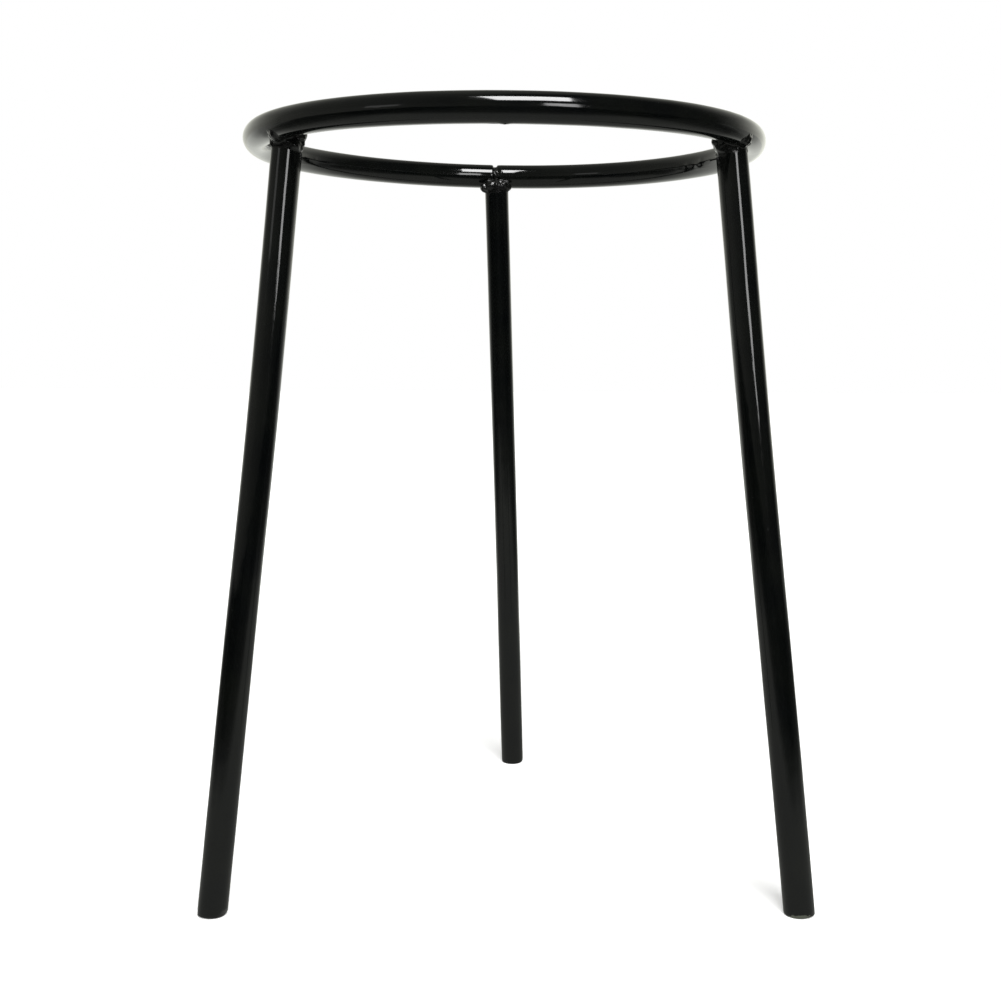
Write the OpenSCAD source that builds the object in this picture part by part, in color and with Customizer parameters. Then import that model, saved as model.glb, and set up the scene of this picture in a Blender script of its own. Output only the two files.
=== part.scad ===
// Laboratory tripod stand: a round-bar ring carried by three splayed round-bar legs.
// The legs butt under the ring, and a weld bead wraps each joint.
// Millimetres, +Z up. The origin is on the bench, at the middle of the stand's own box.

/* [Stand] */
// Height of the ring's top above the bench
stand_h = 145; // [110:1:220]

/* [Ring] */
// Clear width inside the ring
ring_inner_d = 90; // [70:1:115]
// Thickness of the bar that is bent into the ring
ring_bar_d = 5; // [4:0.1:8]
// Gap left between the bar's two ends, at the rear
butt_gap = 0.35; // [0.15:0.05:0.8]
// Rounding on the edges of the bar's two ends
butt_round = 0.8; // [0.3:0.1:1.2]

/* [Legs] */
// Thickness of the bar that the legs are cut from
leg_bar_d = 5.4; // [4:0.1:8]
// Circle that the feet are meant to stand on
foot_circle_d = 125; // [110:1:180]
// How far inside the middle of the ring's bar the legs are aimed
leg_inset = 2.3; // [0:0.1:2.6]
// Rounding on the edge of each foot
foot_round = 1.1; // [0.5:0.1:1.6]
// Depth cut off each rounded foot, level with the bench, so that it stands flat
foot_level = 0.4; // [0.3:0.05:0.8]

/* [Feet as they were set by hand] */
// How far the left foot swings clockwise from its third, in degrees about the ring's axis
left_swing = 0.8; // [0:0.1:8]
// How far the right foot swings clockwise from its third
right_swing = 1.3; // [0:0.1:8]
// How far the rear foot swings clockwise from its third
rear_swing = 5.5; // [0:0.1:8]
// How far outside the feet's circle the left foot stands
left_stray = -0.5; // [-3:0.1:3]
// How far outside the feet's circle the right foot stands
right_stray = 0.9; // [-3:0.1:3]
// How far outside the feet's circle the rear foot stands
rear_stray = -1.7; // [-3:0.1:3]

/* [Welds] */
// Gap between a leg's top and the ring's underside, filled by the weld
root_gap = 0.3; // [0.1:0.05:0.6]
// Thickness of the bead that was laid
bead_d = 3.2; // [2.6:0.1:4]
// How far a weld stands proud of the leg
weld_proud = 0.45; // [0.3:0.05:0.8]
// How far the two front welds run down their legs
front_toe = 2.9; // [2:0.1:5]
// How far the rear weld runs down its leg
rear_toe = 1.6; // [1:0.1:3]
// Distance from one turn of the bead to the next, down the leg
turn_pitch = 0.7; // [0.5:0.1:1]
// Ripples in one turn of the bead
ripple_count = 10; // [8:1:14]
// How far a weld spreads along the ring past the leg's side
weld_spread = 1.3; // [0.8:0.1:2]
// Thickness of the run along the ring, and of the lobe at each of its ends
lobe_d = 2.9; // [2.4:0.1:3.6]
// How far the run arches up over the leg, from its ends to its middle
run_arch = 0.85; // [0.4:0.05:1.2]

/* [Hidden] */
$fn = 128;

// Each leg: its third's bearing about the ring's axis, counted from the stand's right-hand side,
// then how far its foot swings and strays from there
left = [210, left_swing, left_stray];
right = [330, right_swing, right_stray];
rear = [90, rear_swing, rear_stray];

ring_r = (ring_inner_d + ring_bar_d) / 2;
ring_z = stand_h - ring_bar_d / 2;
butt_half_angle = butt_gap / ring_r * 90 / PI;
leg_r = leg_bar_d / 2;
foot_r = foot_circle_d / 2;
leg_top_z = stand_h - ring_bar_d - root_gap;
weld_climb = root_gap + ring_bar_d / 2;

// How far the stand reaches each way from the ring's axis, and so where the axis stands
ring_reach = ring_inner_d / 2 + ring_bar_d;
left_reach = max(ring_reach, leg_r - foot_place(left).x);
right_reach = max(ring_reach, leg_r + foot_place(right).x);
front_reach = max(ring_reach, leg_r - foot_place(left).y, leg_r - foot_place(right).y);
rear_reach = max(ring_reach, leg_r + foot_place(rear).y);
ring_x = (left_reach - right_reach) / 2;
ring_y = (front_reach - rear_reach) / 2;

// Unevenness of a bead laid by hand: ripple sizes as shares of the bead, how far a ripple sags or
// wavers in millimetres, and how fast the turns flatten down the leg, as a share for each millimetre
ripple_sizes = [0.93, 1.08];
waver = 0.2;
flattening = 0.5;
run_lobes = 5;

// Collar under a bead: its height above the toe, and its thickness as a share of the last turn's
collar_rise = 0.5;
collar_share = 0.5;

// Overruns of the cutters: into a surface that they meet, and into open space
past = 0.02;
clear = 1;

// A leg's three values
function bearing(leg) = leg[0];
function swing(leg) = leg[1];
function stray(leg) = leg[2];

// Middle of a foot about the ring's axis, at this angle round it
function foot_at(leg, angle) = (foot_r + stray(leg)) * [cos(angle), sin(angle), 0];
function foot_place(leg) = foot_at(leg, bearing(leg) - swing(leg));

// Leg's axis, from the middle of the foot to the plane of the ring, seen with its third on +X
function foot_point(leg) = foot_at(leg, -swing(leg));
function aim_point() = [ring_r - leg_inset, 0, ring_z];
function leg_tilt(v) = acos(v.z / norm(v));
function leg_heading(v) = atan2(v.y, v.x);

// Cutter that rounds the edge of a bar's end; the bar stands on z = 0 and runs up
module end_rounding(bar_d, edge_r, overrun) {
    rotate_extrude()
        difference() {
            translate([bar_d / 2 - edge_r, -overrun])
                square([edge_r + clear, edge_r + overrun]);
            translate([bar_d / 2 - edge_r, edge_r])
                circle(r = edge_r + past);
        }
}

// One bar bent round almost a full turn, its two rounded ends facing each other at the rear
module ring_bar() {
    translate([ring_x, ring_y, ring_z])
        difference() {
            rotate([0, 0, bearing(rear) + butt_half_angle])
                rotate_extrude(angle = 360 - 2 * butt_half_angle)
                    translate([ring_r, 0])
                        circle(d = ring_bar_d);
            for (side = [-1, 1])
                rotate([0, 0, bearing(rear) + side * butt_half_angle])
                    translate([ring_r, 0, 0])
                        rotate([-side * 90, 0, 0])
                            end_rounding(ring_bar_d, butt_round, butt_gap / 2);
        }
}

// Carries its children to this height on a leg's axis, tipped with the leg but not turned about it:
// +Z runs up the leg and +X points away from the ring's axis
module on_leg(leg, height) {
    foot = foot_point(leg);
    axis = aim_point() - foot;
    translate([ring_x, ring_y, 0])
        rotate([0, 0, bearing(leg)])
            translate(foot + axis * height / ring_z)
                rotate([0, leg_tilt(axis), leg_heading(axis)])
                    rotate([0, 0, -leg_heading(axis)])
                        children();
}

// Straight bar with a rounded foot, cut level at the bench and just below the ring
module leg_bar(leg) {
    reach = norm(aim_point() - foot_point(leg));
    intersection() {
        on_leg(leg, 0)
            rotate_extrude()
                translate([0, -foot_level])
                    union() {
                        square([leg_r - foot_round, reach]);
                        translate([0, foot_round])
                            square([leg_r, reach - foot_round]);
                        translate([leg_r - foot_round, foot_round])
                            intersection() {
                                circle(r = foot_round);
                                translate([0, -foot_round])
                                    square(foot_round);
                            }
                    }
        translate([-reach, -reach, 0])
            cube([2 * reach, 2 * reach, leg_top_z]);
    }
}

// Mound that covers the leg's end and climbs the ring's inner side to the middle of its bar
module weld_mound() {
    mound_r = (leg_r * leg_r + weld_climb * weld_climb) / (2 * weld_climb);
    translate([0, 0, weld_climb - mound_r])
        sphere(r = mound_r);
}

// One turn of the bead round the leg, its lower edge this far down the leg
module weld_turn(drop, proud, seed) {
    // A ripple's middle stands this far above the line where the ripple dives into the leg
    sink = sqrt(proud * (bead_d - proud));
    size = rands(ripple_sizes[0], ripple_sizes[1], ripple_count, seed);
    sag = rands(-waver, waver, ripple_count, seed + 1);
    for (i = [0:ripple_count - 1])
        rotate([0, 0, 360 * (i + size[i] / 3) / ripple_count])
            translate([leg_r + proud - bead_d / 2, 0, sink - drop + sag[i]])
                sphere(d = bead_d * size[i]);
}

// Lower edge of the bead's first turn, and how far a turn with its edge this far down stands proud
function first_drop(toe) = min(toe, bead_d / 2);
function turn_proud(toe, drop) = weld_proud / (1 + flattening * (drop - first_drop(toe)));

// Turns of the bead from the ring down to the toe, each one flatter than the one above it
module weld_turns(toe, seed) {
    for (k = [0:ceil((toe - first_drop(toe)) / turn_pitch)]) {
        drop = min(first_drop(toe) + k * turn_pitch, toe);
        weld_turn(drop, turn_proud(toe, drop), seed + 10 * k);
    }
}

// Thin collar under the turns, which covers the leg in the valleys between their ripples and closes
// over the rim of its top, where that is highest
module weld_collar(leg, toe) {
    rim = leg_r * tan(leg_tilt(aim_point() - foot_point(leg)));
    translate([0, 0, collar_rise - toe])
        cylinder(r = leg_r + collar_share * turn_proud(toe, toe), h = toe - collar_rise + root_gap + rim);
}

// Short run along the ring's inner side, arched over the leg, with a lobe past each of its sides
module weld_run(seed) {
    half = leg_r + weld_spread - lobe_d / 2;
    wavers = rands(-waver, waver, run_lobes, seed);
    for (i = [0:run_lobes - 1]) {
        along = 2 * i / (run_lobes - 1) - 1;
        rise = 2 * root_gap + run_arch * (1 - along * along);
        translate([wavers[i], half * along, rise + wavers[i]])
            sphere(d = lobe_d);
    }
}

// Weld bead round one leg's top, fitted to the ring above and the leg below
module weld(leg, toe, seed) {
    difference() {
        on_leg(leg, leg_top_z) {
            weld_mound();
            weld_run(seed);
            weld_turns(toe, seed + 1);
            weld_collar(leg, toe);
        }
        ring_bar();
        leg_bar(leg);
    }
}

module ring() {
    color("#17191b")
        ring_bar();
}

module left_leg() {
    color("#17191b")
        leg_bar(left);
}

module right_leg() {
    color("#17191b")
        leg_bar(right);
}

module rear_leg() {
    color("#17191b")
        leg_bar(rear);
}

module left_weld() {
    color("#26282a")
        weld(left, front_toe, seed = 1);
}

module right_weld() {
    color("#26282a")
        weld(right, front_toe, seed = 6);
}

module rear_weld() {
    color("#26282a")
        weld(rear, rear_toe, seed = 5);
}

ring();
left_leg();
right_leg();
rear_leg();
left_weld();
right_weld();
rear_weld();
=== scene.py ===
import math
import bpy
import numpy as np
from mathutils import Matrix, Vector


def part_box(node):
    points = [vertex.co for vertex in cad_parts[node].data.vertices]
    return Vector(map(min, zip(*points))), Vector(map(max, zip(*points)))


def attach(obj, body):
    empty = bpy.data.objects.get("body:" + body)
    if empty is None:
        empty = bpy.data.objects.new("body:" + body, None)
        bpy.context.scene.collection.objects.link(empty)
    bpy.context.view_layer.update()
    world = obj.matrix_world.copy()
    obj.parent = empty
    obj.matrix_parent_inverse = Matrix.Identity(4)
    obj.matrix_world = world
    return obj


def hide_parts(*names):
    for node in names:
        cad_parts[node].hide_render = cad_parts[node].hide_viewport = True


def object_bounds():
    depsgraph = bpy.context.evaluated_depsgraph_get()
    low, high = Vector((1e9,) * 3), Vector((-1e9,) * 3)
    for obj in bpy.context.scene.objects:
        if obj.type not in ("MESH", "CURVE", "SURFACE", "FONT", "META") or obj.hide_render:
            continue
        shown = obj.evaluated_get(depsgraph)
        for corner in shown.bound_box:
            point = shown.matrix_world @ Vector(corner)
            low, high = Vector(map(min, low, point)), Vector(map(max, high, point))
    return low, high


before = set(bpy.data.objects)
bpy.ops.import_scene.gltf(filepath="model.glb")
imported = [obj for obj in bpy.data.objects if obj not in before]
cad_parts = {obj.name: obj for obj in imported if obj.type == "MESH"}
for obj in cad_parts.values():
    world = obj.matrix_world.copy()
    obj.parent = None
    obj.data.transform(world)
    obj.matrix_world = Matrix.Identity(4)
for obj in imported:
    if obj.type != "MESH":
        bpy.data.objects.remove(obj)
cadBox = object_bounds()
scene = bpy.context.scene
mm = 0.001

# the stand's sizes in millimetres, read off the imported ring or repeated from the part
ringLow, ringHigh = (np.array(corner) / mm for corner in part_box("ring"))
stand = {
    "ringBar": (ringHigh[2] - ringLow[2]) / 2,
    "ringRadius": (ringHigh[0] - ringLow[0] - ringHigh[2] + ringLow[2]) / 2,
    "ringAxis": (ringHigh[:2] + ringLow[:2]) / 2,
    "ringHeight": (ringHigh[2] + ringLow[2]) / 2,
    "buttGap": 0.35,
    "gapBearing": 90,
    "footRadius": 62.5,
    "legInset": 2.3,
    "legTop": ringLow[2] - 0.3,
    "coatRoom": 0.02,       # bars start this much thinner, to leave room for the uneven coat
}
# where each leg stands, the radius of its bar as it looks (the part's legs are all 2.7), and how far it
# bows to the right at each height
legPlaces = {
    "left": {
        "bearing": 210, "swing": 0.8, "stray": -0.5, "bar": 2.77,
        "bowHeights": [0, 20, 45, 65, 85, 101, 113, 125, 140],
        "bow": [-0.05, -0.06, -0.10, -0.03, 0.09, 0.01, -0.10, -0.24, -0.42],
    },
    "right": {
        "bearing": 330, "swing": 1.3, "stray": 0.9, "bar": 2.88,
        "bowHeights": [0, 12, 34, 45, 55, 67, 78, 101, 113, 125, 140],
        "bow": [-0.27, -0.20, -0.18, -0.22, -0.23, -0.28, -0.30, -0.24, -0.15, 0.05, 0.12],
    },
    "rear": {
        "bearing": 90, "swing": 5.5, "stray": -1.7, "bar": 2.68,
        "bowHeights": [0, 25, 60, 140],
        "bow": [-0.12, -0.09, -0.03, -0.03],
    },
}
print("frame loaded")


# node tree helpers

def feed(tree, value, socket):
    if isinstance(value, bpy.types.NodeSocket):
        tree.links.new(value, socket)
    else:
        socket.default_value = value


def mathNode(tree, operation, *values, clamp=False):
    node = tree.nodes.new("ShaderNodeMath")
    node.operation = operation
    node.use_clamp = clamp
    for socket, value in zip(node.inputs, values):
        feed(tree, value, socket)
    return node.outputs[0]


def newGeometryTree(name, sockets):
    tree = bpy.data.node_groups.new(name, "GeometryNodeTree")
    for label, kind, start in sockets:
        socket = tree.interface.new_socket(label, in_out="INPUT", socket_type="NodeSocket" + kind)
        if start is not None:
            socket.default_value = start
    tree.interface.new_socket("Geometry", in_out="OUTPUT", socket_type="NodeSocketGeometry")
    inputs = tree.nodes.new("NodeGroupInput").outputs
    outputs = tree.nodes.new("NodeGroupOutput").inputs
    return tree, inputs, outputs


def geoNode(tree, kind, **values):
    node = tree.nodes.new(kind)
    for label, value in values.items():
        feed(tree, value, node.inputs[label])
    return node


def grow(name, tree, values):
    # one plain mesh from a tree
    holder = bpy.data.objects.new(name + "Holder", bpy.data.meshes.new(name + "Start"))
    scene.collection.objects.link(holder)
    modifier = holder.modifiers.new("tree", "NODES")
    modifier.node_group = tree
    for item in tree.interface.items_tree:
        if item.item_type == "SOCKET" and item.in_out == "INPUT" and item.name in values:
            modifier[item.identifier] = values[item.name]
    graph = bpy.context.evaluated_depsgraph_get()
    mesh = bpy.data.meshes.new_from_object(holder.evaluated_get(graph), depsgraph=graph)
    holder.modifiers.remove(modifier)
    bpy.data.objects.remove(holder)
    mesh.name = name
    return mesh


def readPoints(mesh):
    flat = np.empty(len(mesh.vertices) * 3)
    mesh.vertices.foreach_get("co", flat)
    return flat.reshape(-1, 3)


def writePoints(mesh, points):
    mesh.vertices.foreach_set("co", np.ascontiguousarray(points).ravel())
    mesh.update()


def addPiece(name, mesh, slotName, *nodes):
    piece = bpy.data.objects.new(name, mesh)
    scene.collection.objects.link(piece)
    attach(piece, "root")
    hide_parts(*nodes)


# unevenness that is the same on every piece where they meet

def waves(points, seed, longest, shortest, count=30):
    dice = np.random.default_rng(seed)
    total = np.zeros(len(points))
    for _ in range(count):
        heading = dice.normal(size=3)
        heading /= np.linalg.norm(heading)
        length = shortest * (longest / shortest) ** dice.random()
        total += np.sin(points @ heading * (2 * math.pi / length) + dice.random() * 2 * math.pi)
    return total * math.sqrt(2 / count)


coat = {
    # each kind of unevenness: height, seed of its waves, longest and shortest wave in millimetres
    "sag": (0.007, 11, 26, 9),              # slow thick and thin places of the dipped enamel
    "ripple": (0.0022, 12, 6, 2.2),         # finer ripple in it
    "streak": (0.006, 13, 5, 1.6),          # long streaks that ran down the legs
    "streakStretch": (1, 1, 0.06),
    "limit": 0.018,
}


def swellOf(kind, points):
    height, seed, longest, shortest = coat[kind]
    return height * waves(points, seed, longest, shortest)


def coatAt(points, running):
    swell = swellOf("sag", points) + swellOf("ripple", points)
    if running:
        swell += swellOf("streak", points * coat["streakStretch"])
    return coat["limit"] * np.tanh(swell / coat["limit"])


def bumps(angles, distances, marks):
    # each mark: place along the bar, angle round it, length, width, height, all on a bar's own grid
    total = np.zeros(len(angles))
    for place, turn, length, width, height in marks:
        away = (angles - turn + 180) % 360 - 180
        total += height * np.exp(-((distances - place) / length) ** 2 - (away / width) ** 2)
    return total


# the bent bar of the ring and the straight bars of the legs

ring = {
    "rows": 620,            # rings of points along the bar
    "sides": 64,
    "endRows": 16,
    "endDepth": 0.9,
    "endPower": 0.5,        # lower is squarer
    "coated": 0.13,         # radius that the bar has over the part's, which is too thin for its looks
    # the ring was bent by hand: shift of its middle, then the waves of its radius and of its height by
    # how many go round it, as (cosine, sine)
    "shift": (-0.23, -0.01),
    "radiusWaves": {2: (-0.201, 0.124), 3: (-0.106, -0.326)},
    "sink": -0.240,         # the last 0.04 of it only keeps the thicker ring's top in the CAD box
    "heightWaves": {1: (-0.057, -0.008), 2: (0.074, -0.067), 3: (0.033, -0.044)},
    # the enamel hangs thicker under the front
    "hang": 0.03,
    "hangBearing": 270,
    "hangSpread": 34,
    "hangUnder": (270, 48),         # angle round the bar, and spread
    # the right-hand end was ground back on its inner side
    "bevel": 0.42,
    "bevelLength": 1.5,
    "bevelFace": (185, 62),         # angle round the bar, and spread
    # bearing, angle round the bar (0 out, 90 up), length in degrees, width in degrees, height
    "marks": [
        (267.4, -84, 0.9, 16, 0.16),
        (242.9, -8, 0.35, 6, 0.035),
        (242.0, -3, 0.25, 4, -0.03),
        (251.0, 0, 1.3, 5, 0.012),
        (287.1, -5, 0.9, 4, 0.014),
        (27.2, 188, 1.0, 13, 0.07),
        (22.8, 196, 1.1, 12, 0.09),
        (21.0, 178, 0.8, 11, 0.06),
        (31.5, 190, 1.0, 10, 0.05),
        (34.8, 184, 0.7, 8, 0.03),
        (42.7, 187, 0.9, 9, 0.03),
        (57.3, 194, 0.8, 6, 0.03),
        (72.8, 184, 0.7, 6, 0.03),
        (77.8, 193, 0.3, 5, 0.03),
        (76.6, 190, 0.25, 5, 0.025),
        (75.2, 194, 0.3, 5, 0.025),
        (74.3, 193, 0.25, 4, -0.03),
        (70.0, 222, 0.35, 6, -0.04),
        (150.6, 182, 0.5, 8, 0.04),
    ],
    # a run of enamel left a groove: places of (bearing, angle round) joined up, width and depth in mm
    "grooves": [
        ([(155.8, 186), (150.5, 198), (146.5, 203), (143.0, 206)], 0.16, -0.045),
        ([(154.5, 180), (147.0, 184), (140.0, 192)], 0.14, -0.03),
        ([(23.1, 204), (20.5, 196), (17.5, 192), (15.4, 189)], 0.15, -0.05),
        ([(41.0, 201), (33.0, 206), (26.5, 207), (23.1, 204)], 0.15, -0.035),
    ],
}

legs = {
    "rows": 230,
    "sides": 56,
    "endRows": 14,
    "endDepth": 1.4,
    "endPower": 0.7,
    "footLevel": 0.4,       # depth of the foot's crown that the bench cuts off
    "bowRounding": 9,       # a bow's corners are rounded over this much height each way
    # each foot's squarer side as a bearing round the leg, and how deep the foot's rounding is on that
    # side and on the other one
    "feet": {
        "left": {"sharpSide": 180, "sharpDepth": 0.45, "roundDepth": 2.1},
        "right": {"sharpSide": 10, "sharpDepth": 0.55, "roundDepth": 1.3},
        "rear": {"sharpSide": 200, "sharpDepth": 1.1, "roundDepth": 1.4},
    },
    # lighter rims at the feet, partly steel worn bare and partly a painted reflection of the white
    # floor: bearing round the foot, spread in degrees, height in millimetres, strength
    "wearAndReflection": {
        "left": (250, 34, 0.16, 0.35),
        "right": (266, 56, 0.75, 1.35),
        "rear": (270, 40, 0.18, 0.4),
    },
}


def barTree(name, bent):
    sockets = [
        ("Bar radius", "Float", 2.5), ("Length", "Float", 100.0), ("End depth", "Float", 1.0),
        ("End power", "Float", 0.7), ("End rows", "Int", 12), ("Rows", "Int", 200),
        ("Sides", "Int", 48), ("Material", "Material", None),
    ]
    if bent:
        sockets += [("Bend radius", "Float", 50.0), ("Start bearing", "Float", 90.0)]
    tree, given, result = newGeometryTree(name, sockets)

    def m(operation, *values, clamp=False):
        return mathNode(tree, operation, *values, clamp=clamp)

    row = tree.nodes.new("GeometryNodeInputIndex").outputs[0]
    last = m("SUBTRACT", given["Rows"], 1)
    quarter = math.pi / 2
    tip = 0.05              # share of a row by which the end's first ring is wider than a point
    fromStart = m("DIVIDE", m("ADD", row, tip), given["End rows"], clamp=True)
    fromEnd = m("DIVIDE", m("ADD", m("SUBTRACT", last, row), tip), given["End rows"], clamp=True)
    middleRows = m("SUBTRACT", last, m("MULTIPLY", given["End rows"], 2))
    middle = m("DIVIDE", m("SUBTRACT", row, given["End rows"]), middleRows, clamp=True)
    power = given["End power"]
    startCos = m("POWER", m("COSINE", m("MULTIPLY", fromStart, quarter)), power)
    endCos = m("POWER", m("COSINE", m("MULTIPLY", fromEnd, quarter)), power)
    startPart = m("MULTIPLY", given["End depth"], m("SUBTRACT", 1, startCos))
    endPart = m("MULTIPLY", given["End depth"], endCos)
    straight = m("SUBTRACT", given["Length"], m("MULTIPLY", given["End depth"], 2))
    along = m("ADD", m("ADD", startPart, endPart), m("MULTIPLY", middle, straight))
    startSin = m("POWER", m("SINE", m("MULTIPLY", fromStart, quarter)), power)
    endSin = m("POWER", m("SINE", m("MULTIPLY", fromEnd, quarter)), power)
    thickness = m("MULTIPLY", given["Bar radius"], m("MULTIPLY", startSin, endSin))

    if bent:
        angle = m("ADD", m("RADIANS", given["Start bearing"]),
                  m("DIVIDE", along, given["Bend radius"]))
        place = geoNode(tree, "ShaderNodeCombineXYZ",
                        X=m("MULTIPLY", given["Bend radius"], m("COSINE", angle)),
                        Y=m("MULTIPLY", given["Bend radius"], m("SINE", angle))).outputs[0]
    else:
        place = geoNode(tree, "ShaderNodeCombineXYZ", Z=along).outputs[0]

    line = geoNode(tree, "GeometryNodeCurvePrimitiveLine").outputs[0]
    spine = geoNode(tree, "GeometryNodeResampleCurve", Curve=line, Count=given["Rows"]).outputs[0]
    spine = geoNode(tree, "GeometryNodeSetPosition", Geometry=spine, Position=place).outputs[0]
    profile = geoNode(tree, "GeometryNodeCurvePrimitiveCircle", Resolution=given["Sides"])
    profile.inputs["Radius"].default_value = 1
    bar = tree.nodes.new("GeometryNodeCurveToMesh")
    feed(tree, spine, bar.inputs["Curve"])
    feed(tree, profile.outputs[0], bar.inputs["Profile Curve"])
    feed(tree, thickness, bar.inputs["Scale"])
    feed(tree, True, bar.inputs["Fill Caps"])
    smooth = geoNode(tree, "GeometryNodeSetShadeSmooth", Geometry=bar.outputs[0]).outputs[0]
    real = geoNode(tree, "GeometryNodeRealizeInstances", Geometry=smooth).outputs[0]
    dressed = geoNode(tree, "GeometryNodeSetMaterial", Geometry=real, Material=given["Material"])
    feed(tree, dressed.outputs[0], result["Geometry"])
    return tree


def hump(angles, middle, spread):
    away = (angles - middle + 180) % 360 - 180
    return np.exp(-(away / spread) ** 2)


def waved(bearing, shares):
    turn = np.radians(bearing)
    return sum(even * np.cos(count * turn) + odd * np.sin(count * turn)
               for count, (even, odd) in shares.items())


ringEven = stand["ringBar"] - stand["coatRoom"] + ring["coated"]       # radius of the evenly coated bar


def ringReach(bearing):
    return stand["ringRadius"] + waved(bearing, ring["radiusWaves"])


def ringLift(bearing):
    return ring["sink"] + waved(bearing, ring["heightWaves"])


def ringMiddle():
    return np.array([*(stand["ringAxis"] + ring["shift"]), stand["ringHeight"]])


def ringParts(points):
    # bearing about the ring's axis, angle round the bar, distance from the bar's middle line
    moved = points - ringMiddle()
    bearing = np.degrees(np.arctan2(moved[:, 1], moved[:, 0])) % 360
    outward = np.hypot(moved[:, 0], moved[:, 1]) - ringReach(bearing)
    upward = moved[:, 2] - ringLift(bearing)
    around = np.degrees(np.arctan2(upward, outward)) % 360
    return bearing, around, np.hypot(outward, upward)


def ringPoint(bearing, around, distance):
    turn, lift = np.radians(bearing), np.radians(around)
    reach = ringReach(bearing) + distance * np.cos(lift)
    height = ringLift(bearing) + distance * np.sin(lift)
    return np.stack([reach * np.cos(turn), reach * np.sin(turn), height], -1) + ringMiddle()


def furrow(points, knots, width, depth):
    # smooth trough along a jointed line
    nearest = np.full(len(points), 1e9)
    for a, b in zip(knots[:-1], knots[1:]):
        run = b - a
        share = np.clip(((points - a) @ run) / max(run @ run, 1e-9), 0, 1)
        nearest = np.minimum(nearest, np.linalg.norm(points - a - share[:, None] * run, axis=1))
    return depth * np.exp(-(nearest / width) ** 2)


def grooveDepth(bearing, around, grooves):
    # the lines are drawn on the bar's unrolled skin
    total = np.zeros(len(bearing))
    across = math.radians(1) * stand["ringBar"]
    lengthwise = math.radians(1) * (stand["ringRadius"] - stand["ringBar"])
    skin = np.stack([bearing * lengthwise, around * across], -1)
    for line, width, depth in grooves:
        knots = np.array(line, float) * [lengthwise, across]
        total = np.minimum(total, furrow(skin, knots, width, depth))
    return total


def ringSkin(bearing, around):
    # distance of the coated skin from the bar's middle line
    rest = ringPoint(bearing, around, ringEven)
    skin = ringEven + coatAt(rest, False)
    skin += bumps(around, bearing, ring["marks"])
    under = hump(around, *ring["hangUnder"])
    skin += ring["hang"] * hump(bearing, ring["hangBearing"], ring["hangSpread"]) * under
    toEnd = (stand["gapBearing"] - bearing) * math.radians(1) * stand["ringRadius"]
    ground = np.clip(1 - toEnd / ring["bevelLength"], 0, 1) * (toEnd > 0)
    ground *= hump(around, *ring["bevelFace"])
    return skin + grooveDepth(bearing, around, ring["grooves"]) - ring["bevel"] * ground


def buildRing(tree, material):
    gap = math.degrees(stand["buttGap"] / stand["ringRadius"])
    mesh = grow("ringCoated", tree, {
        "Bar radius": ringEven,
        "Length": math.radians(360 - gap) * stand["ringRadius"],
        "End depth": ring["endDepth"],
        "End power": ring["endPower"],
        "End rows": ring["endRows"],
        "Rows": ring["rows"],
        "Sides": ring["sides"],
        "Bend radius": stand["ringRadius"],
        "Start bearing": stand["gapBearing"] + gap / 2,
        "Material": material,
    })
    points = readPoints(mesh)
    outward = np.hypot(points[:, 0], points[:, 1]) - stand["ringRadius"]
    bearing = np.degrees(np.arctan2(points[:, 1], points[:, 0])) % 360
    around = np.degrees(np.arctan2(points[:, 2], outward)) % 360
    distance = np.hypot(outward, points[:, 2]) * ringSkin(bearing, around) / ringEven
    writePoints(mesh, ringPoint(bearing, around, distance) * mm)
    addPiece("ring_coated", mesh, "black_enamel", "ring")


def legFrame(side):
    # middle of the foot, direction up the leg, and two directions across it
    place = legPlaces[side]
    bearing = math.radians(place["bearing"])
    footBearing = bearing - math.radians(place["swing"])
    foot = np.array([math.cos(footBearing), math.sin(footBearing), 0])
    foot *= stand["footRadius"] + place["stray"]
    aim = np.array([math.cos(bearing), math.sin(bearing), 0])
    aim *= stand["ringRadius"] - stand["legInset"]
    aim[2] = stand["ringHeight"]
    foot[:2] += stand["ringAxis"]
    aim[:2] += stand["ringAxis"]
    up = (aim - foot) / np.linalg.norm(aim - foot)
    right = np.cross([0, 1, 0], up)
    right /= np.linalg.norm(right)
    return foot, up, right, np.cross(up, right)


def smoothPath(places, values, wanted):
    # straight pieces, rounded by averaging them over a short stretch
    steps = np.linspace(-1, 1, 13) * legs["bowRounding"]
    return sum(np.interp(wanted + step, places, values) for step in steps) / len(steps)


def legBow(side, heights):
    place = legPlaces[side]
    shift = np.zeros((len(heights), 3))
    shift[:, 0] = smoothPath(place["bowHeights"], place["bow"], heights)
    return shift


def legEven(side):
    # radius of the evenly coated bar
    return legPlaces[side]["bar"] - stand["coatRoom"]


def legPoint(side, angle, height, radius):
    foot, up, right, back = legFrame(side)
    turn = np.radians(angle)
    across = np.cos(turn)[:, None] * right + np.sin(turn)[:, None] * back
    return foot + height[:, None] * up + radius * across


def legSkin(side, angle, height):
    # distance of the coated skin from the bar's middle line
    even = legEven(side)
    return even + coatAt(legPoint(side, angle, height, even), True)


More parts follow.
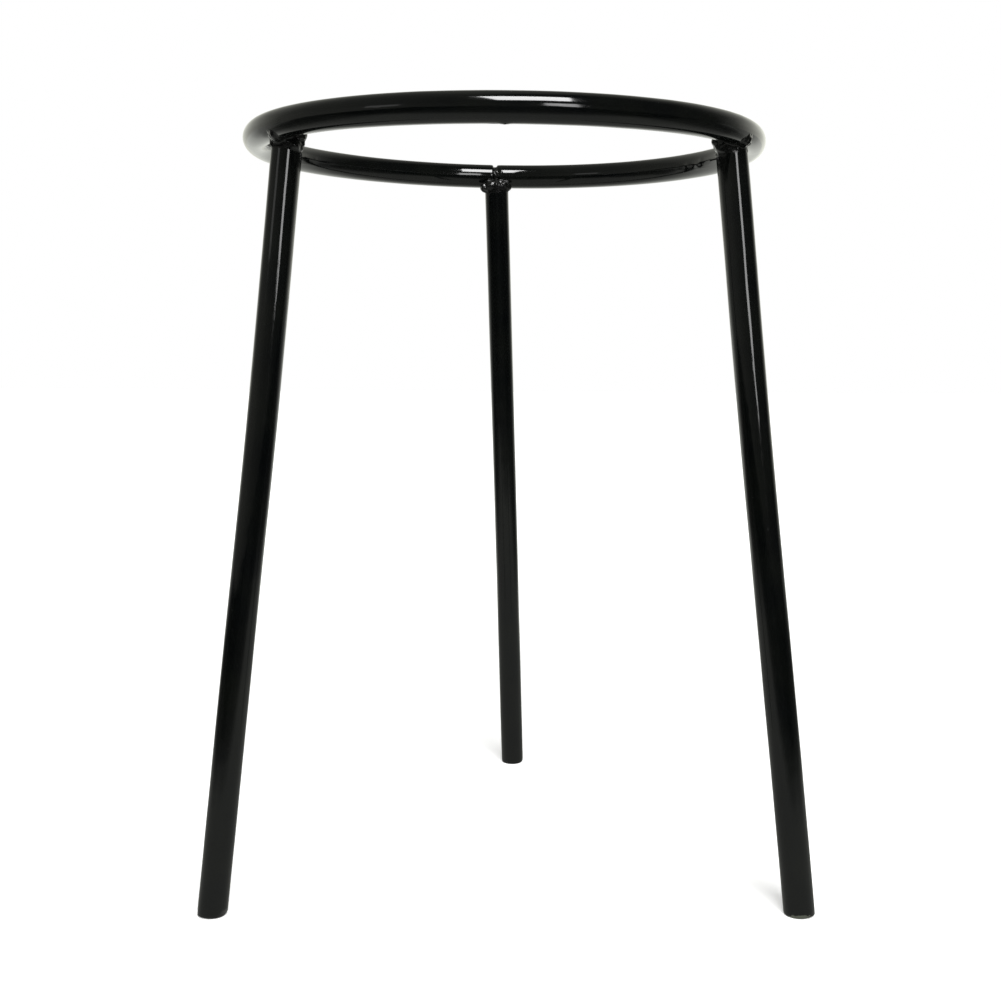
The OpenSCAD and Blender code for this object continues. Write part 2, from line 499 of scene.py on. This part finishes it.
def buildLeg(side, tree, material):
    foot, up = legFrame(side)[:2]
    shape = legs["feet"][side]
    below = legs["footLevel"]
    length = (stand["legTop"] - foot[2]) / up[2] + below
    mesh = grow(side + "LegCoated", tree, {
        "Bar radius": legEven(side),
        "Length": length,
        "End depth": legs["endDepth"],
        "End power": legs["endPower"],
        "End rows": legs["endRows"],
        "Rows": legs["rows"],
        "Sides": legs["sides"],
        "Material": material,
    })
    points = readPoints(mesh)
    angle = np.degrees(np.arctan2(points[:, 1], points[:, 0])) % 360
    radius = np.hypot(points[:, 0], points[:, 1])
    height = points[:, 2] - below
    # the foot's rounding is deeper on one side than on the other
    lean = (1 + np.cos(np.radians(angle - shape["sharpSide"]))) / 2
    depth = shape["roundDepth"] + (shape["sharpDepth"] - shape["roundDepth"]) * lean
    inEnd = points[:, 2] < legs["endDepth"] - 1e-6
    height = np.where(inEnd, points[:, 2] * depth / legs["endDepth"] - below, height)
    radius = radius * legSkin(side, angle, height) / legEven(side)
    placed = legPoint(side, angle, height, radius[:, None])
    placed += legBow(side, placed[:, 2])
    # the CAD box cuts the soles level, and takes up to 0.17 mm off the left foot's outer side
    low, high = (np.array(corner) / mm for corner in cadBox)
    writePoints(mesh, np.clip(placed, low, high) * mm)
    # mask of the lighter foot rims: partly steel worn bare, partly a painted reflection of the white
    # floor
    middle, spread, reach, strength = legs["wearAndReflection"][side]
    wearAndReflection = strength * hump(angle, middle, spread) * np.exp(-(placed[:, 2] / reach) ** 2)
    mesh.attributes.new("wearAndReflection", "FLOAT", "POINT").data.foreach_set("value", wearAndReflection)
    addPiece(side + "_leg_coated", mesh, "black_enamel", side + "_leg")


# the welds: beads melted into the bars, worked out as one rounded solid

def meltTogether(first, second, width):
    share = np.maximum(width - np.abs(first - second), 0)
    return np.minimum(first, second) - share * share / (4 * width)


welds = {
    "step": 0.11,           # fineness of the surface
    "skip": 4,              # a first pass looks at every fourth step
    "room": (5.5, 5.5, 4.6),        # how far a weld may reach from its leg's top, each way
    "melt": 0.30,           # how softly beads run into each other and the bars
    "root": 0.4,            # how softly the leg runs into the ring
    "overlap": 0.2,         # how far the leg carries on inside the weld
    "sink": 0.008,          # beads' skin lies this far under the bars' own where they only carry on
    "reach": 0.62,          # the weld's skin carries on over the bars this far from the beads
    "gapRoom": 1.0,         # the gap between the ring's ends counts as empty this far each way
    "probe": (-7, 4, 0.02),         # a line run back through a joint: start, end and step
    "lumps": 0.055,
    "lumpLength": (2.4, 0.8),       # longest and shortest
    "lumpSeeds": {"left": 24, "right": 25, "rear": 24},
    # beads about each leg's top: right, back, up, radius
    "beads": {
        "left": [
            (2.25, -1.00, 0.95, 1.35), (1.25, -1.62, -0.75, 1.30), (-1.00, -1.60, 1.00, 1.90),
            (0.75, -1.85, 0.75, 1.20), (-0.55, -1.50, -0.35, 1.50), (2.05, -0.75, -0.70, 1.05),
            (-1.60, -0.95, -0.20, 1.45), (1.20, 0.90, 0.50, 1.75), (-1.00, 1.30, 0.60, 1.75),
            (1.90, 0.20, 1.50, 1.40), (-1.90, 0.90, 0.45, 1.20), (-1.50, -3.10, 1.00, 1.50),
            (-0.95, -3.75, 1.30, 1.20), (-1.00, -2.00, 0.80, 1.60), (0.40, 2.20, 1.20, 1.40),
            (0.00, 0.00, -0.25, 2.85),
        ],
        "right": [
            (-2.72, -0.95, 0.88, 1.15), (-1.75, -1.55, 0.72, 1.22), (-0.60, -2.00, 0.85, 1.10),
            (0.50, -2.10, 1.25, 1.02), (1.62, -1.62, 1.15, 1.52), (-1.55, -1.30, -0.05, 1.45),
            (0.30, -1.70, 0.15, 1.28), (-2.30, -0.60, -0.10, 1.00), (-1.20, 0.90, 0.50, 1.75),
            (1.00, 1.30, 0.60, 1.75), (1.90, 0.90, 0.45, 1.20), (1.55, -3.10, 1.00, 1.45),
            (1.05, -3.75, 1.22, 1.20), (-0.40, 2.20, 1.20, 1.40), (0.00, 0.00, -0.30, 2.86),
        ],
        "rear": [
            (-2.72, -0.90, -0.38, 1.05), (2.42, -0.90, -0.08, 0.96), (0.05, -1.20, -0.10, 1.45),
            (-1.35, -1.25, -0.05, 1.30), (1.25, -1.25, 0.00, 1.25), (-0.75, -0.35, 0.35, 0.95),
            (0.80, -0.35, 0.35, 0.95), (-2.10, 0.20, 0.35, 0.90), (2.10, 0.20, 0.35, 0.90),
            (-1.30, 1.90, 0.50, 1.60), (1.30, 1.90, 0.50, 1.60), (0.00, 0.30, -0.75, 2.50),
            (-0.15, 1.95, 2.90, 1.75),
        ],
    },
    # pits on the front of each joint: right, up, radius, how deep the middle of each lies
    "pits": {
        "left": [(1.12, 1.30, 0.26, 0.07), (3.0, 1.30, 0.30, 0.08)],
        "right": [(-3.2, 1.1, 0.30, 0.08), (1.1, 2.0, 0.28, 0.08)],
        "rear": [(1.05, 0.20, 0.26, 0.05)],
    },
    "pitMelt": 0.12,
    # furrows between the runs: from right, up to right, up, then width and depth
    "furrows": {
        "left": [(0.05, 2.05, 1.95, 1.55, 0.22, 0.07), (1.50, 0.25, 3.00, -0.05, 0.20, 0.08),
                 (0.10, 0.20, 1.40, -0.10, 0.20, 0.05)],
        "right": [(-3.3, 0.35, 0.2, 0.75, 0.20, 0.07), (-2.6, 1.55, 0.3, 1.75, 0.20, 0.06),
                  (0.85, 0.5, 1.05, 2.3, 0.22, 0.07)],
        "rear": [(-2.0, -0.9, -1.5, 0.9, 0.22, 0.05), (1.9, -0.7, 1.5, 0.8, 0.22, 0.05)],
    },
    "furrowPieces": 8,
    # nibs: right, up, radius, how deep the near side of each lies
    "nibs": {
        "left": [(0.74, 0.92, 0.30, -0.10)],
        "right": [(-0.9, 1.45, 0.26, -0.06)],
        "rear": [(-0.15, 0.20, 0.40, -0.14)],
    },
    "nibMelt": 0.1,
}


def meetAt(field, right, up, origin):
    # first place where a line running straight back meets the surface
    steps = np.arange(*welds["probe"])
    line = origin + np.stack([np.full(len(steps), right), steps, np.full(len(steps), up)], -1)
    inside = np.nonzero(field(line) < 0)[0]
    return line[inside[0]] if len(inside) else line[len(steps) // 2]


def weldField(side):
    foot, up, right, back = legFrame(side)
    top = foot + up * (stand["legTop"] / up[2])
    top += legBow(side, top[2:])[0]
    beads = welds["beads"][side]

    def barsOnly(points):
        bearing, around, distance = ringParts(points)
        ringSide = distance - ringSkin(bearing, around)
        # nothing bridges the gap between the ring's two ends but the bead itself
        fromGap = np.abs(bearing - stand["gapBearing"]) * math.radians(1) * stand["ringRadius"]
        ringSide = np.maximum(ringSide, welds["gapRoom"] - fromGap)
        moved = points - legBow(side, points[:, 2]) - foot
        height = moved @ up
        a, b = moved @ right, moved @ back
        angle = np.degrees(np.arctan2(b, a)) % 360
        legSide = np.hypot(a, b) - legSkin(side, angle, height)
        legSide = np.maximum(legSide, points[:, 2] - stand["legTop"] - welds["overlap"])
        return meltTogether(ringSide, legSide, welds["root"])

    def beadsOnly(points):
        total = None
        for x, y, z, radius in beads:
            one = np.linalg.norm(points - top - [x, y, z], axis=1) - radius
            total = one if total is None else meltTogether(total, one, welds["melt"])
        return total

    def plain(points):
        metal = beadsOnly(points)
        lumps = welds["lumps"] * waves(points, welds["lumpSeeds"][side], *welds["lumpLength"])
        metal = metal - lumps
        return meltTogether(barsOnly(points), metal, welds["melt"])

    pits = [(meetAt(plain, x, z, top), radius, deep) for x, z, radius, deep in welds["pits"][side]]
    nibs = [(meetAt(plain, x, z, top), radius, deep) for x, z, radius, deep in welds["nibs"][side]]
    furrows = []
    for x1, z1, x2, z2, width, depth in welds["furrows"][side]:
        shares = np.linspace(0, 1, welds["furrowPieces"] + 1)
        knots = [meetAt(plain, x1 + (x2 - x1) * share, z1 + (z2 - z1) * share, top) for share in shares]
        furrows.append((knots, width, depth))

    def whole(points):
        total = plain(points)
        for place, radius, deep in nibs:
            away = np.linalg.norm(points - place - [0, radius + deep, 0], axis=1) - radius
            total = meltTogether(total, away, welds["nibMelt"])
        for place, radius, deep in pits:
            away = np.linalg.norm(points - place + [0, radius - deep, 0], axis=1) - radius
            total = -meltTogether(-total, away, welds["pitMelt"])
        for knots, width, depth in furrows:
            total = total + furrow(points, knots, width, depth)
        return np.maximum(total + welds["sink"], beadsOnly(points) - welds["reach"])

    return whole, top


def netSurface(field, low, high, step, skip):
    # a vertex in each cell that the surface crosses, and a face round each crossed grid edge
    cells = np.ceil((np.array(high) - low) / (step * skip)).astype(int) * skip
    size = cells + 1
    coarse = np.stack(np.meshgrid(*[np.arange(n // skip + 1) for n in cells], indexing="ij"), -1)
    rough = field(np.array(low) + coarse.reshape(-1, 3) * (step * skip)).reshape(coarse.shape[:3])
    nearest = np.stack(np.meshgrid(*[np.rint(np.arange(n) / skip).astype(int) for n in size],
                                   indexing="ij"), -1)
    values = rough[tuple(np.moveaxis(nearest, -1, 0))]
    # only what may hold the surface is worked out finely
    diagonal = 1.7          # of a coarse cell, in its own sides
    close = np.argwhere(np.abs(values) < step * skip * diagonal)
    values[tuple(close.T)] = field(np.array(low) + close * step)
    solid = values < 0

    def corner(array, offset):
        return array[tuple(slice(o, o + c) for o, c in zip(offset, cells))]

    offsets = [(i, j, k) for i in (0, 1) for j in (0, 1) for k in (0, 1)]
    count = sum(corner(solid, o).astype(int) for o in offsets)
    active = (count > 0) & (count < 8)
    number = np.full(cells, -1)
    number[active] = np.arange(active.sum())
    total = np.zeros((active.sum(), 3))
    hits = np.zeros(active.sum())
    for axis in range(3):
        for o in offsets:
            if o[axis]:
                continue
            far = list(o)
            far[axis] = 1
            a, b = corner(values, o)[active], corner(values, far)[active]
            crossed = (a < 0) != (b < 0)
            share = np.where(crossed, a / np.where(crossed, a - b, 1), 0)
            place = np.tile(np.array(o, float), (len(a), 1))
            place[:, axis] += share
            total += place * crossed[:, None]
            hits += crossed
    vertices = np.array(low) + (np.argwhere(active) + total / hits[:, None]) * step
    faces = []
    for axis in range(3):
        b, c = (axis + 1) % 3, (axis + 2) % 3
        near = [slice(0, n) for n in size]
        away = list(near)
        near[axis], away[axis] = slice(0, size[axis] - 1), slice(1, size[axis])
        start, end = solid[tuple(near)], solid[tuple(away)]
        for crossing, turned in ((start & ~end, False), (~start & end, True)):
            where = np.argwhere(crossing)
            keep = (where[:, b] > 0) & (where[:, c] > 0)
            keep &= (where[:, b] < cells[b]) & (where[:, c] < cells[c])
            where = where[keep]
            quad = []
            for db, dc in ((-1, -1), (0, -1), (0, 0), (-1, 0)):
                cell = where.copy()
                cell[:, b] += db
                cell[:, c] += dc
                quad.append(number[cell[:, 0], cell[:, 1], cell[:, 2]])
            quad = np.stack(quad, -1)
            faces.append(quad[:, ::-1] if turned else quad)
    return vertices, np.concatenate(faces)


def pullOnto(field, points, rounds=3, nudge=0.01, flattest=0.2, stride=0.06):
    # carries points along the field's slope until they lie on the surface
    for _ in range(rounds):
        value = field(points)
        slope = np.stack([
            (field(points + step) - field(points - step)) / (2 * nudge)
            for step in np.eye(3) * nudge
        ], -1)
        steep = np.maximum((slope * slope).sum(1), flattest)
        move = -(value / steep)[:, None] * slope
        far = np.linalg.norm(move, axis=1)
        move *= np.minimum(1, stride / np.maximum(far, 1e-9))[:, None]
        points = points + move
    return points


def buildWeld(side, material):
    field, top = weldField(side)
    low, high = top - welds["room"], top + welds["room"]
    vertices, faces = netSurface(field, low, high, welds["step"], welds["skip"])
    vertices = pullOnto(field, vertices)
    mesh = bpy.data.meshes.new(side + "WeldCoated")
    mesh.from_pydata((vertices * mm).tolist(), [], faces.tolist())
    mesh.polygons.foreach_set("use_smooth", [True] * len(mesh.polygons))
    mesh.materials.append(material)
    mesh.update()
    addPiece(side + "_weld_coated", mesh, "weld_enamel", side + "_weld")


# materials

def newMaterial(name):
    material = bpy.data.materials.new(name)
    material.use_nodes = True
    tree = material.node_tree
    return material, tree, tree.nodes["Principled BSDF"]


def objectNoise(tree, scale, detail, roughness=0.5):
    place = tree.nodes.new("ShaderNodeTexCoord").outputs["Object"]
    noise = tree.nodes.new("ShaderNodeTexNoise")
    noise.inputs["Scale"].default_value = scale
    noise.inputs["Detail"].default_value = detail
    noise.inputs["Roughness"].default_value = roughness
    tree.links.new(place, noise.inputs["Vector"])
    return noise.outputs[0]


def ramp(tree, value, stops, lowColour=(0, 0, 0), highColour=(1, 1, 1)):
    node = tree.nodes.new("ShaderNodeValToRGB")
    first, last = node.color_ramp.elements
    first.position, last.position = stops
    first.color, last.color = (*lowColour, 1), (*highColour, 1)
    tree.links.new(value, node.inputs[0])
    return node.outputs[0]


def bumpNode(tree, height, distance, before=None):
    node = tree.nodes.new("ShaderNodeBump")
    node.inputs["Strength"].default_value = 1
    node.inputs["Distance"].default_value = distance * mm
    tree.links.new(height, node.inputs["Height"])
    if before:
        tree.links.new(before, node.inputs["Normal"])
    return node.outputs[0]


enamel = {
    "dark": (0.0012, 0.0015, 0.0016),
    "tinted": (0.0022, 0.0026, 0.0022),
    "glossy": 0.055,        # roughness from here to the dull value
    "dull": 0.12,
    "peel": 0.0022,         # height of the orange peel in millimetres
    "grit": 0.005,          # height of the specks
    "gritShare": 0.10,
}

weldEnamel = {
    "dark": (0.0012, 0.0014, 0.0013),
    "tinted": (0.0030, 0.0034, 0.0027),
    "glossy": 0.17,
    "dull": 0.36,
    "peel": 0.010,
    "grit": 0.012,
    "gritShare": 0.22,
}

# the same in both: scales of the patterns, where each one turns from low to high, and the lighter rims
# of the feet, partly worn bare steel and partly a painted reflection of the floor
grain = {
    "blotches": 130,
    "clouds": 420,          # glossier and duller patches
    "specks": 480,
    "peel": 700,
    "ragged": 1400,         # edges of the lighter rims
    "tintStops": (0.35, 0.7),
    "cloudStops": (0.3, 0.75),
    "steelReflectionStops": (0.3, 0.7),
    "wearReflectionStops": (0.45, 0.6),
    "wearReflectionRagged": (0.9, -0.4),      # strength and shift of the ragged edges
    "wearReflectionOnly": 4,                  # keeps them to where the rims' mask is above zero
    "speckDull": 0.25,              # roughness that specks and bare steel add
    "bareDull": 0.4,
    # colours of the lighter rims: bare steel, lightened partly by a painted reflection of the floor
    "bareSteelAndReflectionDark": (0.020, 0.024, 0.018),
    "bareSteelAndReflectionLight": (0.13, 0.14, 0.10),
}


def wearAndReflectionShare(tree):
    # the rims of the feet are lighter in ragged patches: partly steel worn bare, partly a painted
    # reflection of the white floor
    attribute = tree.nodes.new("ShaderNodeAttribute")
    attribute.attribute_name = "wearAndReflection"
    wearAndReflection = attribute.outputs["Fac"]
    edges = objectNoise(tree, grain["ragged"], 3)
    bareAndReflection = mathNode(tree, "ADD", wearAndReflection, mathNode(tree, "MULTIPLY_ADD", edges, *grain["wearReflectionRagged"]))
    only = mathNode(tree, "MULTIPLY", wearAndReflection, grain["wearReflectionOnly"], clamp=True)
    bareAndReflection = mathNode(tree, "MULTIPLY", bareAndReflection, only, clamp=True)
    return ramp(tree, bareAndReflection, grain["wearReflectionStops"])


def enamelMaterial(name, values):
    material, tree, shader = newMaterial(name)
    blotch = objectNoise(tree, grain["blotches"], 2)
    bareAndReflection = wearAndReflectionShare(tree)
    coated = ramp(tree, blotch, grain["tintStops"], values["dark"], values["tinted"])
    # the rims' lighter colour: partly bare steel, partly a painted reflection of the floor
    steelAndReflection = ramp(tree, blotch, grain["steelReflectionStops"], grain["bareSteelAndReflectionDark"], grain["bareSteelAndReflectionLight"])
    mix = tree.nodes.new("ShaderNodeMix")
    mix.data_type = "RGBA"
    tree.links.new(bareAndReflection, mix.inputs[0])
    tree.links.new(coated, mix.inputs[6])       # the colour sockets
    tree.links.new(steelAndReflection, mix.inputs[7])
    tree.links.new(mix.outputs[2], shader.inputs["Base Color"])

    clouds = ramp(tree, objectNoise(tree, grain["clouds"], 4, 0.6), grain["cloudStops"])
    dots = tree.nodes.new("ShaderNodeTexVoronoi")
    dots.inputs["Scale"].default_value = grain["specks"]
    tree.links.new(tree.nodes.new("ShaderNodeTexCoord").outputs["Object"], dots.inputs["Vector"])
    specks = ramp(tree, dots.outputs["Distance"], (0, values["gritShare"]), (1, 1, 1), (0, 0, 0))
    rough = mathNode(tree, "MULTIPLY_ADD", clouds, values["dull"] - values["glossy"], values["glossy"])
    rough = mathNode(tree, "MULTIPLY_ADD", specks, grain["speckDull"], rough)
    rough = mathNode(tree, "MULTIPLY_ADD", bareAndReflection, grain["bareDull"], rough)
    tree.links.new(rough, shader.inputs["Roughness"])

    peel = bumpNode(tree, objectNoise(tree, grain["peel"], 2), values["peel"])
    grit = bumpNode(tree, specks, values["grit"], peel)
    tree.links.new(grit, shader.inputs["Normal"])
    return material


print("building materials")
enamelFinish = enamelMaterial("Black dipped enamel", enamel)
weldFinish = enamelMaterial("Enamel over weld", weldEnamel)

print("building the ring")
bentBar = barTree("Bent bar", True)
straightBar = barTree("Straight bar", False)
buildRing(bentBar, enamelFinish)

for side in legPlaces:
    print("building the", side, "leg and weld")
    buildLeg(side, straightBar, enamelFinish)
    buildWeld(side, weldFinish)


# floor, lights and camera

studio = {
    "floorHalf": 2.5,       # metres from the middle of the floor to its edge
    "paperGlow": 0.50,      # near the stand, where faint shadows show
    "farGlow": 1.1,
    "glowRise": (0.16, 0.3),        # metres from the middle to where it starts to rise, and its length
    # the paper as the enamel mirrors it: brightness from front to back in millimetres, its fade to the
    # sides, and behind the stand a wider fade, the lighter of one by distance and one by sideways
    # distance over distance back
    "mirrored": [(-420, 0.03), (-300, 0.04), (-200, 0.10), (-130, 0.36), (100, 0.36), (220, 1.1),
                 (600, 1.15)],
    "mirroredSides": [(0, 1), (150, 1), (260, 0.25), (420, 0.12)],
    "farSides": [(0, 1), (150, 1), (350, 0.5), (700, 0.25), (1200, 0.2)],
    "farTurn": [(0, 1), (0.7, 1), (1.2, 0.5), (2.5, 0.2), (6, 0.2)],
    "farRise": [(150, 0), (300, 1)],
    "paperTint": (0.98, 1.0, 0.93),
    # the walls as the enamel mirrors them: brightness by bearing behind the stand, by height angle,
    # and of the dim room all round, lighter on the left
    "behind": [(-180, 0.75), (-165, 0.92), (-150, 0.82), (-132, 0.48), (-112, 0.08), (96, 0),
               (112, 0.25), (128, 0.8), (150, 1.35), (166, 1.1), (180, 0.75)],
    "behindHeights": [(-90, 0.3), (-22, 1.0), (-6, 1.1), (0, 1.0), (12, 0.95), (25, 0.4), (50, 0.1),
                      (90, 0.05)],
    "room": [(-180, 0.12), (-120, 0.17), (-60, 0.15), (-30, 0.08), (0, 0.05), (40, 0.03), (105, 0.03),
             (150, 0.08), (180, 0.12)],
    "wallTint": (1.0, 1.01, 0.91),
    # soft lights: bearing from the front, height angle, distance, width and height in metres, watts
    "lights": [
        ("Softbox", 10, 53.5, 0.90, 0.41, 0.43, 10.8),
        ("Low panel", 22.6, 14, 0.90, 0.105, 0.28, 0.63),
        ("Raised panel", 15.9, 15.1, 0.90, 0.105, 0.245, 0.55),
        ("Left window", -52, 17, 0.90, 0.22, 0.15, 0.07),
    ],
    "lightsAim": 0.1,       # height that they are turned to
}

viewpoint = {
    "lens": 49.2234,
    "sensor": 36,
    "clip": (0.01, 20),
    "place": (-12.745, -279.336, 105.012),
    "right": (0.999009, -0.04384, 0.007719),
    "up": (-0.002546, 0.116841, 0.993147),
    "look": (0.044441, 0.992183, -0.116613),
}


def curve(tree, value, points):
    # a value looked up along straight pieces between points
    low, high = points[0][0], points[-1][0]
    node = tree.nodes.new("ShaderNodeFloatCurve")
    top = max(height for _, height in points)
    share = mathNode(tree, "DIVIDE", mathNode(tree, "SUBTRACT", value, low), high - low, clamp=True)
    line = node.mapping.curves[0]
    line.points[0].location = (0, points[0][1] / top)
    line.points[1].location = (1, points[-1][1] / top)
    for place, height in points[1:-1]:
        line.points.new((place - low) / (high - low), height / top)
    for point in line.points:
        point.handle_type = "VECTOR"
    node.mapping.update()
    tree.links.new(share, node.inputs["Value"])
    return mathNode(tree, "MULTIPLY", node.outputs[0], top)


def buildFloor():
    mesh = bpy.data.meshes.new("floor")
    half = studio["floorHalf"]
    mesh.from_pydata([(-half, -half, 0), (half, -half, 0), (half, half, 0), (-half, half, 0)],
                     [], [(0, 1, 2, 3)])
    material, tree, shader = newMaterial("Pale bench paper")
    shader.inputs["Base Color"].default_value = (0.8, 0.8, 0.8, 1)
    shader.inputs["Roughness"].default_value = 0.9
    shader.inputs["Specular IOR Level"].default_value = 0.1
    shader.inputs["Emission Color"].default_value = (1, 1, 1, 1)
    place = tree.nodes.new("ShaderNodeNewGeometry").outputs["Position"]
    away = tree.nodes.new("ShaderNodeVectorMath")
    away.operation = "LENGTH"
    tree.links.new(place, away.inputs[0])
    riseStart, riseLength = studio["glowRise"]
    past = mathNode(tree, "SUBTRACT", away.outputs["Value"], riseStart)
    past = mathNode(tree, "DIVIDE", past, riseLength, clamp=True)
    paths = tree.nodes.new("ShaderNodeLightPath").outputs
    seen = mathNode(tree, "MULTIPLY", past, paths["Is Camera Ray"])
    glow = mathNode(tree, "MULTIPLY_ADD", seen, studio["farGlow"] - studio["paperGlow"],
                    studio["paperGlow"])
    tree.links.new(glow, shader.inputs["Emission Strength"])
    # what the glossy enamel mirrors
    parts = tree.nodes.new("ShaderNodeSeparateXYZ")
    tree.links.new(place, parts.inputs[0])
    back = mathNode(tree, "DIVIDE", parts.outputs["Y"], mm)
    side = mathNode(tree, "DIVIDE", mathNode(tree, "ABSOLUTE", parts.outputs["X"]), mm)
    lit = curve(tree, back, studio["mirrored"])
    turned = mathNode(tree, "DIVIDE", side, mathNode(tree, "MAXIMUM", back, 1))
    beside = mathNode(tree, "MAXIMUM", curve(tree, side, studio["farSides"]),
                      curve(tree, turned, studio["farTurn"]))
    far = mathNode(tree, "MULTIPLY", beside, curve(tree, back, studio["farRise"]))
    fade = mathNode(tree, "MAXIMUM", curve(tree, side, studio["mirroredSides"]), far)
    mirrored = tree.nodes.new("ShaderNodeEmission")
    mirrored.inputs["Color"].default_value = (*studio["paperTint"], 1)
    tree.links.new(mathNode(tree, "MULTIPLY", lit, fade), mirrored.inputs["Strength"])
    mix = tree.nodes.new("ShaderNodeMixShader")
    tree.links.new(paths["Is Glossy Ray"], mix.inputs[0])
    tree.links.new(shader.outputs[0], mix.inputs[1])
    tree.links.new(mirrored.outputs[0], mix.inputs[2])
    tree.links.new(mix.outputs[0], tree.nodes["Material Output"].inputs["Surface"])
    mesh.materials.append(material)
    floor = bpy.data.objects.new("floor", mesh)
    scene.collection.objects.link(floor)


def addLight(name, bearing, height, distance, width, tall, watts):
    data = bpy.data.lights.new(name, "AREA")
    data.shape = "RECTANGLE"
    data.size, data.size_y = width, tall
    data.energy = watts
    light = bpy.data.objects.new(name, data)
    scene.collection.objects.link(light)
    turn, climb = math.radians(bearing), math.radians(height)
    away = Vector((math.sin(turn) * math.cos(climb), -math.cos(turn) * math.cos(climb),
                   math.sin(climb)))
    middle = Vector((*stand["ringAxis"] * mm, studio["lightsAim"]))
    light.location = middle + away * distance
    light.rotation_euler = away.to_track_quat("Z", "Y").to_euler()
    light.visible_camera = False


def buildWorld():
    world = bpy.data.worlds.new("Studio")
    scene.world = world
    world.use_nodes = True
    tree = world.node_tree
    background = tree.nodes["Background"]
    heading = tree.nodes.new("ShaderNodeTexCoord").outputs["Generated"]
    parts = tree.nodes.new("ShaderNodeSeparateXYZ")
    tree.links.new(heading, parts.inputs[0])
    degree = 180 / math.pi
    toFront = mathNode(tree, "MULTIPLY", parts.outputs["Y"], -1)
    turn = mathNode(tree, "MULTIPLY", mathNode(tree, "ARCTAN2", parts.outputs["X"], toFront), degree)
    climb = mathNode(tree, "MULTIPLY", mathNode(tree, "ARCSINE", parts.outputs["Z"]), degree)
    behind = mathNode(tree, "MULTIPLY", curve(tree, turn, studio["behind"]),
                      curve(tree, climb, studio["behindHeights"]))
    room = mathNode(tree, "ADD", behind, curve(tree, turn, studio["room"]))
    seen = tree.nodes.new("ShaderNodeLightPath").outputs["Is Camera Ray"]
    background.inputs["Color"].default_value = (*studio["wallTint"], 1)
    tree.links.new(room, background.inputs["Strength"])
    white = tree.nodes.new("ShaderNodeBackground")
    white.inputs["Color"].default_value = (1, 1, 1, 1)
    mix = tree.nodes.new("ShaderNodeMixShader")
    tree.links.new(seen, mix.inputs[0])
    tree.links.new(background.outputs[0], mix.inputs[1])
    tree.links.new(white.outputs[0], mix.inputs[2])
    tree.links.new(mix.outputs[0], tree.nodes["World Output"].inputs["Surface"])


def buildCamera():
    data = bpy.data.cameras.new("Camera")
    data.lens = viewpoint["lens"]
    data.sensor_width = viewpoint["sensor"]
    data.clip_start, data.clip_end = viewpoint["clip"]
    camera = bpy.data.objects.new("Camera", data)
    scene.collection.objects.link(camera)
    right, up, look = (Vector(viewpoint[way]) for way in ("right", "up", "look"))
    turn = Matrix((right, up, -look)).transposed().to_4x4()
    camera.matrix_world = Matrix.Translation(Vector(viewpoint["place"]) * mm) @ turn
    scene.camera = camera


print("setting up floor, lights and camera")
buildFloor()
for values in studio["lights"]:
    addLight(*values)
buildWorld()
buildCamera()
scene.view_settings.view_transform = "Standard"

print("scene ready")
